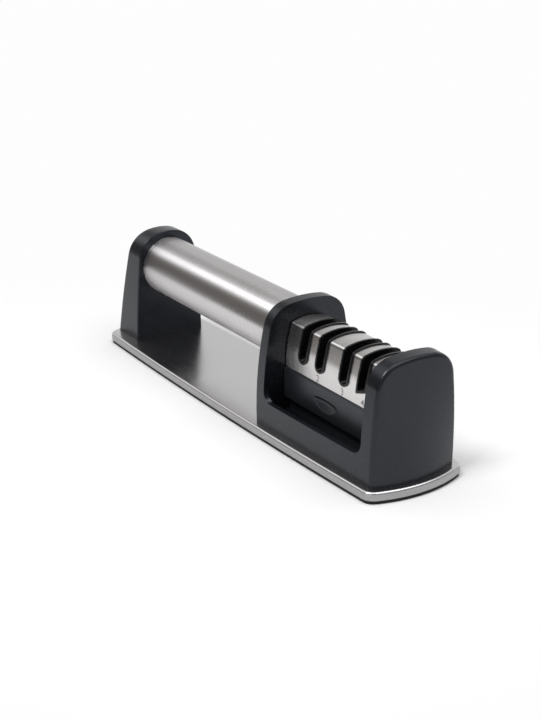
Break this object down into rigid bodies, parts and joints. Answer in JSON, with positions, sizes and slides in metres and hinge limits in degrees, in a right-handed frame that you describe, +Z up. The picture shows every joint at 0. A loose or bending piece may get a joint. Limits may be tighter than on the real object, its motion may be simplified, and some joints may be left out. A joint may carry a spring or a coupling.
{
  "type": "knife sharpener",
  "caption": "Bench knife sharpener: a steel tray on a rubber pad, a brushed tube handle between black posts and a slotted lift-out sharpening cartridge.",
  "frame": {"origin": "middle of the pad's underside, on the surface that the sharpener stands on", "axes": "+X along the length towards the sharpening end, +Z up, the numbered side faces -Y"},
  "size_m": [0.2354, 0.056, 0.0621],
  "materials": {
    "brushed_steel": "brushed",
    "screw_steel": "plain zinc-plated steel",
    "rubber": "matte",
    "black_plastic": "satin moulded",
    "liner_plastic": "satin moulded",
    "carrier_plastic": "matte moulded",
    "coarse_diamond": "coarse diamond grit",
    "fine_diamond": "fine diamond grit",
    "ceramic": "fine white ceramic",
    "carbide": "ground tungsten carbide"
  },
  "bodies": {
    "base": {"base_plate": "brushed_steel", "base_pad": "rubber", "base_screws": "screw_steel", "rear_post": "black_plastic", "handle_tube": "brushed_steel", "handle_tie_screw": "screw_steel", "head_housing": "black_plastic"},
    "cartridge": {"cartridge_body": "black_plastic", "cartridge_cover": "brushed_steel", "cartridge_base": "black_plastic", "cartridge_screws": "screw_steel", "slot_liner_1": "liner_plastic", "slot_liner_2": "liner_plastic", "slot_liner_3": "liner_plastic", "slot_liner_4": "liner_plastic", "hone_carrier": "carrier_plastic", "coarse_rod_front": "coarse_diamond", "coarse_rod_back": "coarse_diamond", "fine_rod_front": "fine_diamond", "fine_rod_back": "fine_diamond", "ceramic_rod_front": "ceramic", "ceramic_rod_back": "ceramic", "carbide_plate_front": "carbide", "carbide_plate_back": "carbide"}
  },
  "joints": [
    {"name": "cartridge_lift", "type": "slide", "parent": "base", "child": "cartridge", "axis": [0, 0, 1], "range_m": [0, 0.055]}
  ]
}
